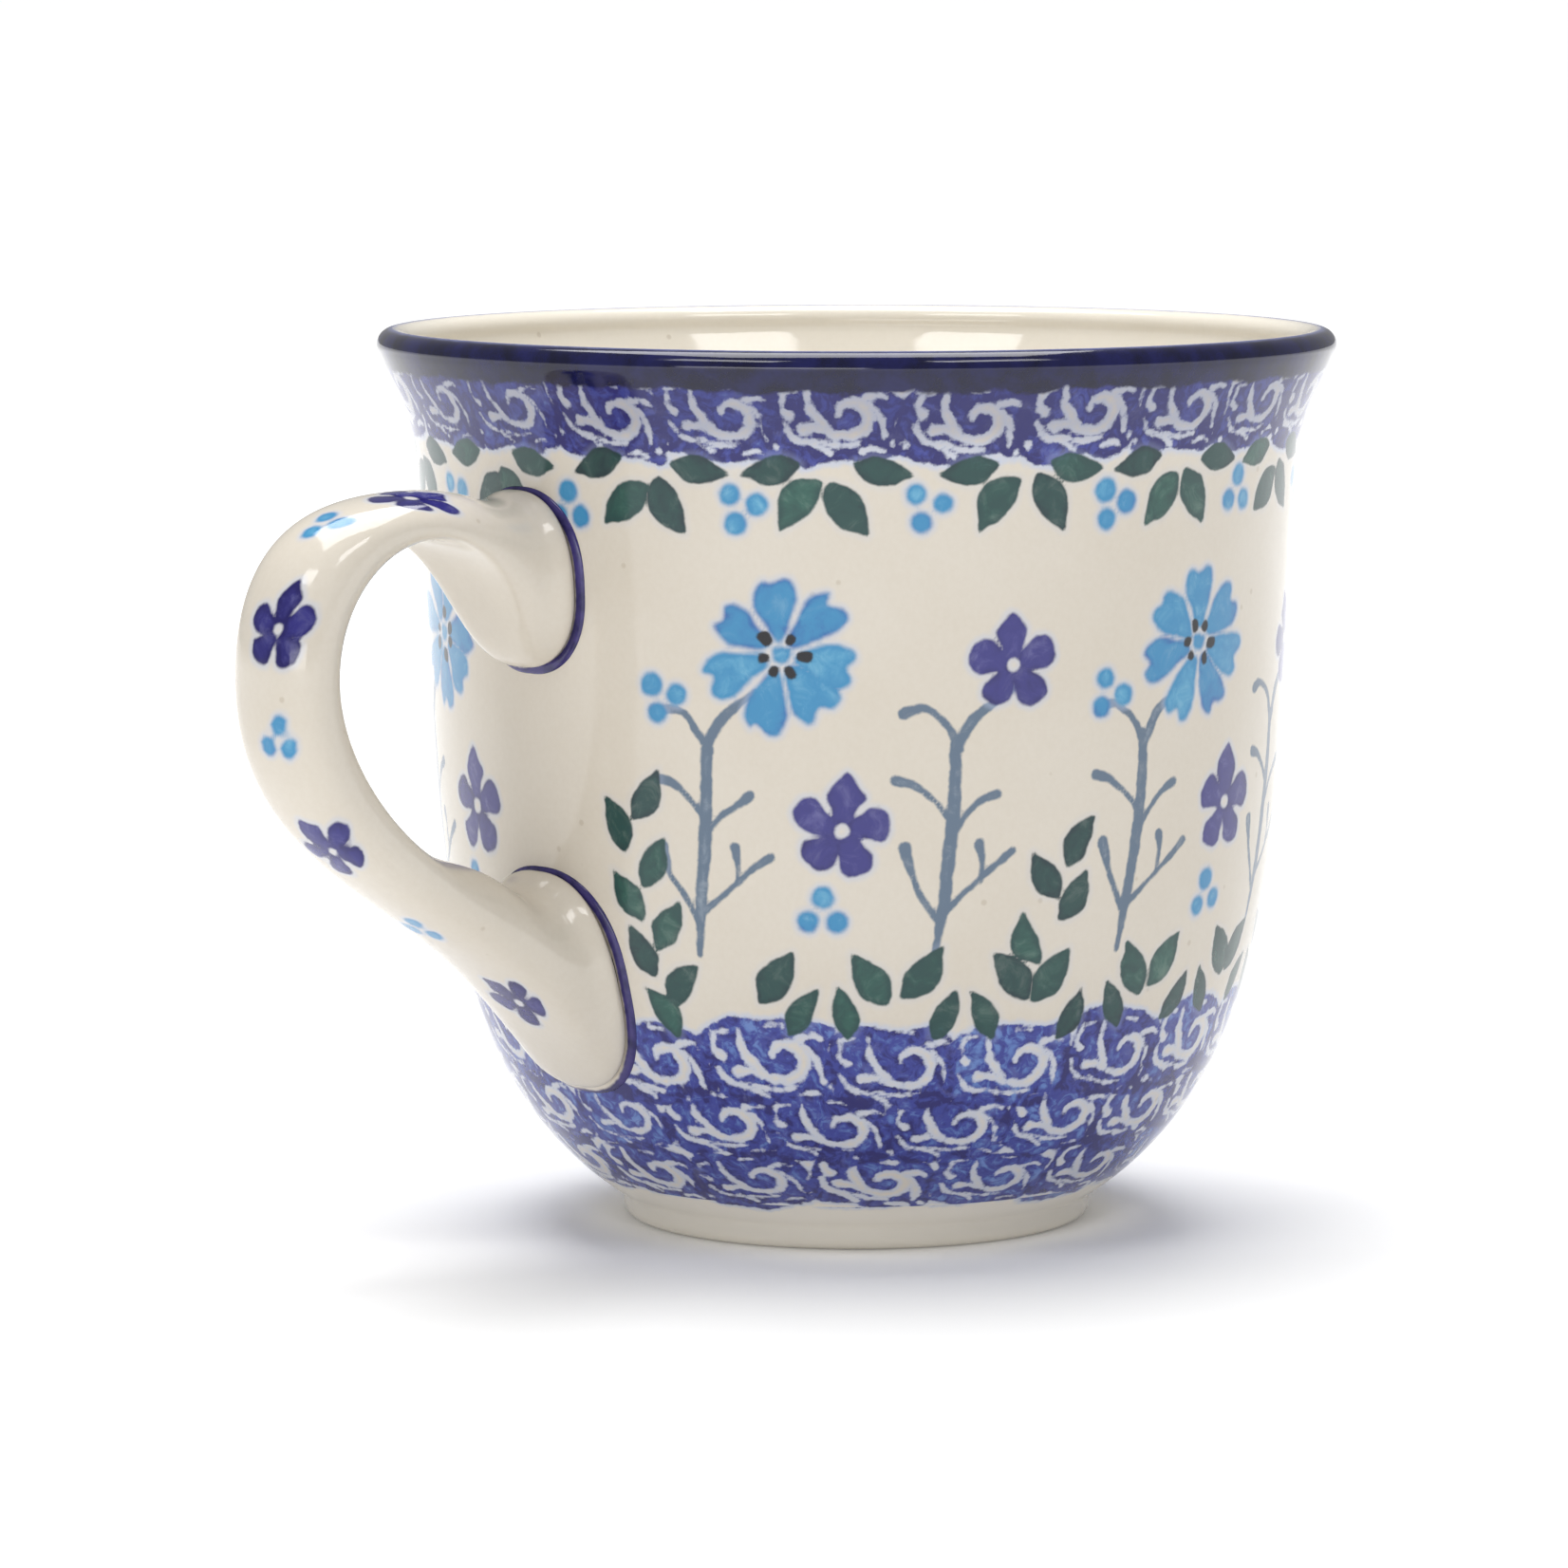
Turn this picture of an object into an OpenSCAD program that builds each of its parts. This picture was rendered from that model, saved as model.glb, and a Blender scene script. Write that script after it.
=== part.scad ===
// Tulip-shaped glazed stoneware mug with a flared rim and a strap handle.
// Millimetres. +Z is up. The origin is where the cup's own axis meets the plane the foot stands on.
// The handle lies in the XZ plane and points along -X.

/* [Cup] */
// Height from the resting plane to the crest of the lip
cup_h = 84; // [82:0.5:90]
// Radius of the wall where the straight part starts
waist_r = 40; // [39:0.5:41]
// Height at which the bowl turns into the straight wall
waist_z = 46.5; // [44:0.5:50]
// Radius of the wall where the lip starts to flare out
neck_r = 41.15; // [40.5:0.05:42]
// Height at which the lip starts to flare out
neck_z = 68; // [66:0.5:70]
// Largest radius of the lip
lip_r = 45; // [44:0.5:46]
// Wall thickness of the straight part, glaze included
wall_t = 3.8; // [3:0.1:5]
// Thickness of the rounded lip, glaze included
lip_t = 3; // [2.4:0.1:3.6]
// Height of the inside floor above the resting plane
floor_z = 6.5; // [5.5:0.1:8]

/* [Foot] */
// Outside radius of the foot ring
foot_r = 22.1; // [20:0.1:24]
// Height of the upright side of the foot ring
foot_h = 2.2; // [1.8:0.1:3]
// Width of the foot ring's flat resting face
foot_flat_w = 2.6; // [2:0.1:4]
// Depth of the shallow recess under the floor
recess_h = 1.6; // [1:0.1:2]

/* [Handle] */
// Furthest reach of the handle from the cup's axis
handle_reach = 72; // [71:0.5:75]
// Thickness of the strap where the fingers go
strap_t = 7.1; // [6:0.1:8]
// Half the width of the strap where the fingers go
strap_half_w = 5.5; // [5:0.1:7]
// Half the width of the upper root
upper_root_half_w = 6.5; // [6:0.1:8]
// Half the width of the lower root
lower_root_half_w = 8.2; // [7:0.1:9]

/* [Coats] */
// Thickness of the glaze coat
glaze_t = 0.3; // [0.2:0.05:0.4]
// Height of the cobalt band below the crest of the lip
rim_band_h = 3; // [2:0.1:4]
// How far a bead of luting slip stands out around a root of the handle
bead_w = 0.9; // [0.6:0.1:1.2]
// How far a bead of luting slip stands proud of the glazed wall
bead_h = 0.2; // [0.1:0.05:0.3]

/* [Hidden] */
$fn = 96;

// Steps along each curve of the cup's outline
curve_steps = 10;
// Steps around the lip and the edges of the foot
edge_steps = 7;
// Sections along each half of the handle, and points around a section
strap_steps = 22;
strap_sides = 30;
// Exponent of the strap's section: 2 is an ellipse, and more is boxier
strap_exponent = 2.3;

lip_edge_r = lip_t / 2;
lip_centre = [lip_r - lip_edge_r, cup_h - lip_edge_r];
foot_edge_r = 1.2;
foot_inner_r = foot_r - foot_edge_r - foot_flat_w;
recess_edge_r = 1;
band_z = cup_h - rim_band_h;

clay_colour = [0.86, 0.82, 0.75];
slip_colour = [0.16, 0.15, 0.42];
glaze_colour = [0.87, 0.84, 0.79];
cobalt_colour = [0.11, 0.11, 0.36];
pattern_colour = [0.70, 0.74, 0.83];

// ---- curves ----

function mix(a, b, t) = a * (1 - t) + b * t;

// Point at t on the Bezier curve with any number of control points
function bezier(points, t) =
    len(points) == 1 ? points[0]
    : bezier([for (i = [0:len(points) - 2]) mix(points[i], points[i + 1], t)], t);

function bezier_points(points, steps) = [for (i = [0:steps]) bezier(points, i / steps)];

function arc_points(centre, radius, from, to, steps) =
    [for (i = [0:steps]) centre + radius * [cos(mix(from, to, i / steps)), sin(mix(from, to, i / steps))]];

// The list without its first point, to join it to a list that ends there
function tail(points) = [for (i = [1:len(points) - 1]) points[i]];

// The points moved by a distance to the left of their direction of travel
function shifted(points, distance) =
    [for (i = [0:len(points) - 1])
        let (
            before = points[max(i - 1, 0)],
            after = points[min(i + 1, len(points) - 1)],
            along = (after - before) / norm(after - before)
        )
        points[i] + distance * [-along[1], along[0]]];

// ---- outlines of the cup: [radius, height], from the foot up or from the lip down ----

// Foot ring's outer edge and side
foot_outline = concat(
    arc_points([foot_r - foot_edge_r, foot_edge_r], foot_edge_r, -90, 0, edge_steps),
    [[foot_r, foot_h]]);

bowl_outline = bezier_points([
    [foot_r, foot_h],
    [foot_r + 13.6, foot_h + 8.8],
    [waist_r - 1.3, waist_z - 21],
    [waist_r, waist_z]], curve_steps + 4);

flare_outline = bezier_points([
    [neck_r, neck_z],
    [neck_r + 0.45, neck_z + 9],
    [lip_r - 2.15, cup_h - 7.3],
    lip_centre + lip_edge_r * [cos(20), -sin(20)]], curve_steps);

// The decorated outside, from the resting plane to where the lip's round edge starts
outside = concat(foot_outline, tail(bowl_outline), flare_outline);

// The lip's round edge, over the crest, which is halfway along it
lip_outline = arc_points(lip_centre, lip_edge_r, -20, 200, 2 * edge_steps);

// The inside, from the lip to the middle of the floor
inside = concat(
    bezier_points([
        lip_centre - lip_edge_r * [cos(20), sin(20)],
        [lip_r - 4.2, cup_h - 5.2],
        [neck_r - wall_t + 0.4, neck_z + 7],
        [neck_r - wall_t, neck_z - 2]], curve_steps),
    bezier_points([
        [waist_r - wall_t, waist_z],
        [waist_r - wall_t - 1.1, waist_z - 19.5],
        [waist_r - wall_t - 3.9, floor_z + 1.6],
        [14, floor_z]], curve_steps + 4),
    [[0, floor_z]]);

// The underside: the recess and the foot ring's resting face
underside = concat(
    [[0, recess_h]],
    arc_points([foot_inner_r - recess_edge_r, recess_h - recess_edge_r], recess_edge_r, 90, 30, 3),
    [[foot_inner_r, 0]]);

// The whole glazed outline, and the clay under it: the outside moves in, the lip shrinks and the
// inside moves into the wall. The foot ring's resting face is bare, so both start at its edge.
glazed_outline = concat(outside, tail(lip_outline), tail(inside));
clay_outline = concat([outside[0]], tail(shifted(glazed_outline, glaze_t)));
crest = len(outside) - 1 + edge_steps;

function slice(points, from, to) = [for (i = [from:to]) points[i]];
function reversed(points) = [for (i = [len(points) - 1:-1:0]) points[i]];

// Coat of glaze over the clay, between two points of the outline
module coat(from, to) {
    rotate_extrude() polygon(concat(
        slice(glazed_outline, from, to),
        reversed(slice(clay_outline, max(from, 1), to))));
}

// Solid of the cup's outside, grown by a distance, with no hollow in it
module filled_cup(grow) {
    side = shifted(outside, -grow);
    top = side[len(side) - 1];
    rotate_extrude() polygon(concat([[0, 0]], side, [[0, top[1]]]));
}

// Everything between two heights
module slab(low, high) {
    translate([0, 0, low]) cylinder(r = 2 * lip_r, h = high - low);
}

// ---- handle: the strap runs between an outer and an inner outline, both [reach, height] ----

strap_mid_z = 55.3;
strap_mid = [handle_reach, strap_mid_z];
palm_side_reach = handle_reach - strap_t;
palm_side_mid = [palm_side_reach, strap_mid_z];

// The strap leaves the wall at this radius at its upper root, and follows the bowl at its lower root
upper_root_r = 40.75;
lower_root_top = [39.15, 34.5];
lower_root_foot = [34.7, 15.6];

outer_upper = [[upper_root_r, 69.2], [46.3, 71], [65, 74.7], [handle_reach, 68.2], strap_mid];
outer_lower = [strap_mid, [handle_reach, 31.5], [43.5, 35.6], [38.5, 16.8], lower_root_foot];
inner_upper = [[upper_root_r, 54.6], [50, 54.8], [39.6, 73.3], [palm_side_reach, 71], palm_side_mid];
inner_lower = [palm_side_mid, [palm_side_reach, 47.6], [56.2, 36], [54.5, 39.7], lower_root_top];

// Each root runs on straight into the wall by this much, to be cut off by the wall's own surface
root_depth = 2.5;

function with_root_ends(line) = concat(
    [line[0] - [root_depth, 0]],
    line,
    [line[len(line) - 1] - [root_depth, 0]]);

outer_line = with_root_ends(
    concat(bezier_points(outer_upper, strap_steps), tail(bezier_points(outer_lower, strap_steps))));
inner_line = with_root_ends(
    concat(bezier_points(inner_upper, strap_steps), tail(bezier_points(inner_lower, strap_steps))));
strap_last = len(outer_line) - 1;

// How much of each root's flare is left at s, which runs from 0 at the upper root to 1 at the lower
function upper_flare(s) = pow(max(1 - s / 0.6, 0), 2);
function lower_flare(s) = pow(max(1 - (1 - s) / 0.46, 0), 2);

function half_width(s) =
    strap_half_w
    + (upper_root_half_w - strap_half_w) * upper_flare(s)
    + (lower_root_half_w - strap_half_w) * lower_flare(s);

function signed_power(v, e) = sign(v) * pow(abs(v), e);

// One section of the strap, between a point of its outer line and a point of its inner line
function strap_section(outer, inner, wide) =
    [for (j = [0:strap_sides - 1])
        let (
            angle = 360 * j / strap_sides,
            across = signed_power(cos(angle), 2 / strap_exponent),
            aside = signed_power(sin(angle), 2 / strap_exponent),
            flat = (outer + inner) / 2 + (outer - inner) / 2 * across
        )
        [-flat[0], wide * aside, flat[1]]];

// The whole strap, grown by a distance, from inside the wall at one root to inside it at the other
module strap(grow) {
    outer = shifted(outer_line, grow);
    inner = shifted(inner_line, -grow);
    rings = [for (k = [0:strap_last])
        strap_section(outer[k], inner[k], half_width(k / strap_last) + grow)];
    points = [for (ring = rings) each ring];
    last = strap_last * strap_sides;
    side_faces = [for (k = [0:strap_last - 1], j = [0:strap_sides - 1])
        let (
            a = k * strap_sides + j,
            b = k * strap_sides + (j + 1) % strap_sides
        )
        each [[a, a + strap_sides, b], [b, a + strap_sides, b + strap_sides]]];
    first_cap = [for (j = [0:strap_sides - 1]) j];
    last_cap = [for (j = [strap_sides - 1:-1:0]) last + j];
    polyhedron(points, concat(side_faces, [first_cap, last_cap]));
}

// The part of the expanded strap that lies against the wall, between two heights
module slip_pad(low, high) {
    intersection() {
        difference() {
            filled_cup(bead_h);
            filled_cup(-glaze_t);
        }
        strap(bead_w);
        slab(low, high);
    }
}

// ---- the pieces ----

// Thrown cup in bare clay: wall, floor and foot ring
module cup_body() {
    color(clay_colour) rotate_extrude() polygon(concat(underside, clay_outline));
}

// Strap handle in bare clay, cut to fit the wall at both roots
module handle() {
    color(clay_colour) difference() {
        strap(-glaze_t);
        filled_cup(bead_h);
    }
}

// Luting slip that joins the upper root to the wall, with its squeezed-out bead
module upper_slip_joint() {
    color(slip_colour) slip_pad(waist_z, cup_h);
}

// Luting slip that joins the lower root to the wall
module lower_slip_joint() {
    color(slip_colour) slip_pad(0, waist_z);
}

// Glaze poured inside the cup, up to the crest of the lip
module inner_glaze() {
    color(glaze_colour) coat(crest, len(glazed_outline) - 1);
}

// Glaze over the painted outside, open where the handle's roots are luted on
module outer_glaze() {
    color(pattern_colour) difference() {
        intersection() {
            coat(0, crest);
            slab(0, band_z);
        }
        strap(bead_w);
    }
}

// Cobalt band over the outside of the lip
module rim_band() {
    color(cobalt_colour) intersection() {
        coat(0, crest);
        slab(band_z, cup_h);
    }
}

// Glaze around the strap
module handle_glaze() {
    color(glaze_colour) difference() {
        strap(0);
        strap(-glaze_t);
        filled_cup(bead_h);
    }
}

cup_body();
handle();
upper_slip_joint();
lower_slip_joint();
inner_glaze();
outer_glaze();
rim_band();
handle_glaze();
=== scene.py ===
"""Stoneware mug with folk decoration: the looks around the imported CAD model.

Lengths are in millimetres until a mesh is made, and the frame is the CAD frame: +Z up along the
cup's axis, handle along -X. Angles around the cup are in degrees from the side that faces the viewer,
positive to the right.
"""
import math

import bpy
import numpy as np
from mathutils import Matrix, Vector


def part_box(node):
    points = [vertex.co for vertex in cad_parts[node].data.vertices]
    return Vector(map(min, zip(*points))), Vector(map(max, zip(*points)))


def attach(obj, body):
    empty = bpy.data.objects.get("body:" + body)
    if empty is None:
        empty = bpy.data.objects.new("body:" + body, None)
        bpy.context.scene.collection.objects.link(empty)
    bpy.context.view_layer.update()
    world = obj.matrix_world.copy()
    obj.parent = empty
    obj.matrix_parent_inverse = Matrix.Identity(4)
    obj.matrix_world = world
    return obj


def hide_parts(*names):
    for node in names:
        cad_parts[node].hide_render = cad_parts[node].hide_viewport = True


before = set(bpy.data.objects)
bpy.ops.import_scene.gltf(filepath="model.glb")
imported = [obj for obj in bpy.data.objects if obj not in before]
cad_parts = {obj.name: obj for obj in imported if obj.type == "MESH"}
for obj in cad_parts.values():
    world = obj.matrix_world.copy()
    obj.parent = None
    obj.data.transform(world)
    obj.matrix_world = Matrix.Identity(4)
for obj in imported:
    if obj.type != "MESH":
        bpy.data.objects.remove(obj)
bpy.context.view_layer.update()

MM = 0.001
rng = np.random.default_rng(7)

# ---- sizes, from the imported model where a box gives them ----


def box_mm(node):
    low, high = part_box(node)
    return np.array(low) / MM, np.array(high) / MM


RIM_LOW, RIM_HIGH = box_mm("rim_band")
SKIN = 0.012  # the visual skin stays this far inside the CAD box
CUP_H = RIM_HIGH[2]
LIP_R = RIM_HIGH[0]
BAND_Z = RIM_LOW[2]
REACH = -box_mm("handle_glaze")[0][0]
GLAZE_T = 0.3
LIP_EDGE_R = 1.5
LIP_CENTRE = np.array([LIP_R - LIP_EDGE_R, CUP_H - LIP_EDGE_R])
FOOT_R, FOOT_H, FOOT_EDGE_R = 22.1, 2.2, 1.2
WAIST_R, WAIST_Z = 40.0, 46.5
NECK_R, NECK_Z = 41.15, 68.0
WALL_T = 3.8
FIELD_TOP_Z = 74.3  # where the flower field ends and the upper scroll band begins
RIM_SHADE_TOP_Z = 77.5  # the painted shade under the flared rim is at its full strength from here up
FOOT_LIGHT_LOW_Z, FOOT_LIGHT_HIGH_Z = 3.0, 7.0  # painted light: the glaze is painted paler at the foot up to the first of these and fades out by the second
FLOOR_Z = 6.5
FOOT_INNER_R, RECESS_H, RECESS_EDGE_R = 18.3, 1.6, 1.0

# Direction around the cup, in degrees from +X, that faces the viewer
FRONT_AZIMUTH = -133.0

# ---- curves ----


def bezier(points, t):
    """Points on a Bezier curve with any number of control points, for an array of t."""
    t = np.asarray(t, float)[..., None]
    level = [np.asarray(p, float) for p in points]
    while len(level) > 1:
        level = [a + (b - a) * t for a, b in zip(level, level[1:])]
    return level[0]


def arc(centre, radius, start, end, steps):
    angle = np.radians(np.linspace(start, end, steps))
    return np.asarray(centre) + radius * np.stack([np.cos(angle), np.sin(angle)], axis=1)


def lengths_along(points):
    return np.concatenate([[0], np.cumsum(np.hypot(*np.diff(points, axis=0).T))])


def evened(points, step, soften):
    """The line resampled at even steps, with its corners rounded over about the distance soften."""
    along = lengths_along(points)
    n = max(int(along[-1] / step), 8)
    at = np.linspace(0, along[-1], n)
    line = np.stack([np.interp(at, along, points[:, i]) for i in range(2)], axis=1)
    reach = int(3 * soften / step)
    if reach < 1:
        return line
    weights = np.exp(-0.5 * (np.arange(-reach, reach + 1) * step / soften) ** 2)
    weights /= weights.sum()
    # mirrored through the end points, so that those stay where they are
    head = 2 * line[0] - line[reach:0:-1]
    foot = 2 * line[-1] - line[-2:-reach - 2:-1]
    longer = np.concatenate([head, line, foot])
    return np.stack([np.convolve(longer[:, i], weights, "valid") for i in range(2)], axis=1)


class Profile:
    """A line of [radius, height] points that is turned around the cup's axis."""

    def __init__(self, points, soften=0.25):
        self.points = evened(np.asarray(points, float), 0.05, soften)
        self.along = lengths_along(self.points)
        self.length = self.along[-1]

    def at(self, s):
        return np.stack([np.interp(s, self.along, self.points[:, i]) for i in range(2)], axis=-1)

    def s_at_height(self, z):
        return np.interp(z, self.points[:, 1], self.along)

    def radius_at_height(self, z):
        return np.interp(z, self.points[:, 1], self.points[:, 0])

    def normal(self, s):
        """Unit vector to the right of the direction of travel."""
        step = 0.1
        along = self.at(np.minimum(s + step, self.length)) - self.at(np.maximum(s - step, 0))
        along /= np.hypot(along[..., 0], along[..., 1])[..., None]
        return np.stack([along[..., 1], -along[..., 0]], axis=-1)


def lip_point(angle):
    turn = math.radians(angle)
    return LIP_CENTRE + LIP_EDGE_R * np.array([math.cos(turn), math.sin(turn)])


OUTSIDE = Profile(np.concatenate([
    arc([FOOT_R - FOOT_EDGE_R, FOOT_EDGE_R], FOOT_EDGE_R, -90, 0, 12),
    bezier([[FOOT_R, FOOT_H], [FOOT_R + 13.6, FOOT_H + 8.8], [WAIST_R - 1.3, WAIST_Z - 21],
            [WAIST_R, WAIST_Z]], np.linspace(0, 1, 80)),
    bezier([[NECK_R, NECK_Z], [NECK_R + 0.45, NECK_Z + 9], [LIP_R - 2.15, CUP_H - 7.3],
            lip_point(-20)], np.linspace(0, 1, 60)),
    arc(LIP_CENTRE, LIP_EDGE_R, -20, 90, 30)[1:]]) - [SKIN, 0])

INSIDE = Profile(np.concatenate([
    arc(LIP_CENTRE, LIP_EDGE_R, 90, 200, 30),
    bezier([lip_point(200), [LIP_R - 4.2, CUP_H - 5.2], [NECK_R - WALL_T + 0.4, NECK_Z + 7],
            [NECK_R - WALL_T, NECK_Z - 2]], np.linspace(0, 1, 60))[1:],
    bezier([[WAIST_R - WALL_T, WAIST_Z], [WAIST_R - WALL_T - 1.1, WAIST_Z - 19.5],
            [WAIST_R - WALL_T - 3.9, FLOOR_Z + 1.6], [14, FLOOR_Z]], np.linspace(0, 1, 80)),
    [[0.02, FLOOR_Z]]]) - [SKIN, 0])

# ---- meshes ----


def make_mesh(name, points, faces, sharp=None, fields=None):
    """An object from points in mm, a list of face arrays, and named fields with a value per point.
    sharp gives each point the number of the edge line that it lies on, or 0."""
    mesh = bpy.data.meshes.new(name)
    points = np.asarray(points, np.float32) * MM
    mesh.vertices.add(len(points))
    mesh.vertices.foreach_set("co", points.ravel())
    sizes = np.concatenate([np.full(len(f), f.shape[1]) for f in faces])
    corners = np.concatenate([f.ravel() for f in faces])
    mesh.loops.add(len(corners))
    mesh.loops.foreach_set("vertex_index", corners.astype(np.int32))
    mesh.polygons.add(len(sizes))
    starts = np.concatenate([[0], np.cumsum(sizes)[:-1]])
    mesh.polygons.foreach_set("loop_start", starts.astype(np.int32))
    mesh.update(calc_edges=True)
    mesh.validate()
    mesh.polygons.foreach_set("use_smooth", np.ones(len(mesh.polygons), bool))
    if sharp is not None:
        ends = np.zeros(len(mesh.edges) * 2, np.int32)
        mesh.edges.foreach_get("vertices", ends)
        lines = np.asarray(sharp)[ends.reshape(-1, 2)]
        is_sharp = (lines[:, 0] > 0) & (lines[:, 0] == lines[:, 1])
        mesh.attributes.new("sharp_edge", "BOOLEAN", "EDGE").data.foreach_set("value", is_sharp)
    for field, values in (fields or {}).items():
        data = mesh.attributes.new(field, "FLOAT", "POINT").data
        data.foreach_set("value", np.asarray(values, np.float32).ravel())
    obj = bpy.data.objects.new(name, mesh)
    bpy.context.scene.collection.objects.link(obj)
    return obj


def grid_faces(rows, columns):
    """Quads between rows of a closed ring of columns. rows lists each row's first point number."""
    here = np.arange(columns)
    after = (here + 1) % columns
    parts = []
    for a, b in zip(rows[:-1], rows[1:]):
        parts.append(np.stack([a + here, a + after, b + after, b + here], 1))
    return np.concatenate(parts)


def turned(line, angles):
    """Points of a [radius, height] line turned to each angle, row by row."""
    r, z = line[:, 0][:, None], line[:, 1][:, None]
    shape = (len(line), len(angles))
    return np.stack([r * np.cos(angles), r * np.sin(angles), np.broadcast_to(z, shape)], -1)


def band_shell(name, profile, s_low, s_high, step, fields=None, rows_at=None, back_step=1.5):
    """A thin closed coat of glaze between two places along a profile, finely meshed on its face.
    Outward is to the right of the profile's direction."""
    rows = rows_at if rows_at is not None else row_places(s_low, s_high, step)
    columns = column_count(profile, s_low, s_high, step)
    angles = column_angles(columns)
    face = turned(profile.at(rows), angles)
    back_rows = np.linspace(s_high, s_low, max(int((s_high - s_low) / back_step), 2) + 1)
    back = profile.at(back_rows) - GLAZE_T * profile.normal(back_rows)
    back = turned(np.maximum(back, 0.01), angles)
    points = np.concatenate([face.reshape(-1, 3), back.reshape(-1, 3)])
    total = len(rows) + len(back_rows)
    ring = [k * columns for k in range(total)] + [0]
    sharp = np.zeros((total, columns), int)
    for number, row in enumerate([0, len(rows) - 1, len(rows), total - 1]):
        sharp[row] = number + 1
    extended = {}
    for field, values in (fields or {}).items():
        back_values = np.full((len(back_rows), columns), FAR)
        extended[field] = np.concatenate([values, back_values])
    return make_mesh(name, points, [grid_faces(ring, columns)], sharp.ravel(), extended)


def row_places(s_low, s_high, step):
    return np.linspace(s_low, s_high, max(int(round((s_high - s_low) / step)), 2) + 1)


def column_count(profile, s_low, s_high, step):
    widest = profile.at(np.linspace(s_low, s_high, 20))[:, 0].max()
    return int(2 * math.pi * widest / step) // 8 * 8


def column_angles(columns):
    return np.arange(columns) * 2 * math.pi / columns


def shape_mm(step):
    """Mesh step for a drawn surface."""
    return step * 1.0


# ---- drawing: signed distances in mm to inked shapes, kept as fields on a fine mesh ----

FAR = 3.0


def outline_distance(x, y, outline):
    """Signed distance to a closed outline, negative inside."""
    nearest = np.full(x.shape, 1e9)
    inside = np.zeros(x.shape, bool)
    for (ax, ay), (bx, by) in zip(outline, np.roll(outline, -1, axis=0)):
        ex, ey, wx, wy = bx - ax, by - ay, x - ax, y - ay
        t = np.clip((wx * ex + wy * ey) / (ex * ex + ey * ey + 1e-12), 0, 1)
        nearest = np.minimum(nearest, (wx - ex * t) ** 2 + (wy - ey * t) ** 2)
        crosses = ((ay <= y) != (by <= y)) & ((ex * wy - ey * wx > 0) == (by > ay))
        inside ^= crosses
    nearest = np.sqrt(nearest)
    return np.where(inside, -nearest, nearest)


def stroke_distance(x, y, line, widths):
    """Signed distance to a brush line whose width changes along it."""
    nearest = np.full(x.shape, 1e9)
    for a, b, wa, wb in zip(line[:-1], line[1:], widths[:-1], widths[1:]):
        ex, ey = b - a
        wx, wy = x - a[0], y - a[1]
        t = np.clip((wx * ex + wy * ey) / (ex * ex + ey * ey + 1e-12), 0, 1)
        d = np.hypot(wx - ex * t, wy - ey * t) - (wa + (wb - wa) * t) / 2
        nearest = np.minimum(nearest, d)
    return nearest


def smooth_line(points, steps=5, closed=False):
    """A Catmull-Rom curve through the points."""
    p = np.asarray(points, float)
    if closed:
        p = np.concatenate([p[-1:], p, p[:2]])
    else:
        p = np.concatenate([2 * p[:1] - p[1:2], p, 2 * p[-1:] - p[-2:-1]])
    t = np.linspace(0, 1, steps, endpoint=False)[:, None]
    out = []
    for a, b, c, d in zip(p[:-3], p[1:-2], p[2:-1], p[3:]):
        out.append(0.5 * (2 * b + (c - a) * t + (2 * a - 5 * b + 4 * c - d) * t ** 2
                          + (3 * b - a - 3 * c + d) * t ** 3))
    if not closed:
        out.append(p[-2:-1])
    return np.concatenate(out)


class Canvas:
    """Fields on a grid of rows and columns. Sub-classes say where each grid point is drawn."""

    def __init__(self, shape):
        self.shape = shape
        self.fields = {}

    def field(self, name, start):
        if name not in self.fields:
            self.fields[name] = np.full(self.shape, float(start))
        return self.fields[name]

    def ink(self, name, rows, columns, distance, tone):
        """Adds a shape to an ink where it is nearer than what is drawn already."""
        where = np.ix_(rows, columns)
        held = self.field(name, FAR)
        tones = self.field(name + "_tone", 0.5)
        old = held[where]
        nearer = distance < old
        held[where] = np.where(nearer, distance, old)
        tones[where] = np.where(nearer, tone, tones[where])

    def draw(self, name, place, shapes, tone, turn=0.0, scale=1.0, reach=8.0, cuts=()):
        """Draws outlines and brush lines, given in mm around the place, turned by turn degrees.
        cuts are taken out of them."""
        found = self.local(place, reach * scale + 1.0)
        if found is None:
            return
        rows, columns, x, y = found
        c, s = math.cos(math.radians(turn)), math.sin(math.radians(turn))
        x, y = (x * c + y * s) / scale, (-x * s + y * c) / scale
        distance = np.min([shape(x, y) for shape in shapes], axis=0)
        for cut in cuts:
            distance = np.maximum(distance, -cut(x, y))
        self.ink(name, rows, columns, distance * scale, tone)


class WallCanvas(Canvas):
    """The cup's outside between two places along its profile. A place is (angle, height)."""

    def __init__(self, s_low, s_high, step):
        self.s = row_places(s_low, s_high, step)
        self.r = OUTSIDE.at(self.s)[:, 0]
        self.angles = column_angles(column_count(OUTSIDE, s_low, s_high, step))
        super().__init__((len(self.s), len(self.angles)))

    def local(self, place, reach):
        angle, height = place
        s = OUTSIDE.s_at_height(height)
        rows = np.nonzero(np.abs(self.s - s) < reach)[0]
        if not len(rows):
            return None
        turn = self.angles - math.radians(FRONT_AZIMUTH + angle)
        turn = (turn + math.pi) % (2 * math.pi) - math.pi
        columns = np.nonzero(np.abs(turn) * self.r[rows].min() < reach)[0]
        x = self.r[rows][:, None] * turn[columns][None, :]
        y = np.broadcast_to((self.s[rows] - s)[:, None], x.shape)
        return rows, columns, x, y


def filled(points, steps=4):
    outline = smooth_line(points, steps, closed=True)
    return lambda x, y: outline_distance(x, y, outline)


def brush(points, widths, steps=5):
    line = smooth_line(points, steps)
    along = np.linspace(0, 1, len(widths))
    wide = np.interp(np.linspace(0, 1, len(line)), along, widths)
    return lambda x, y: stroke_distance(x, y, line, wide)


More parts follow.
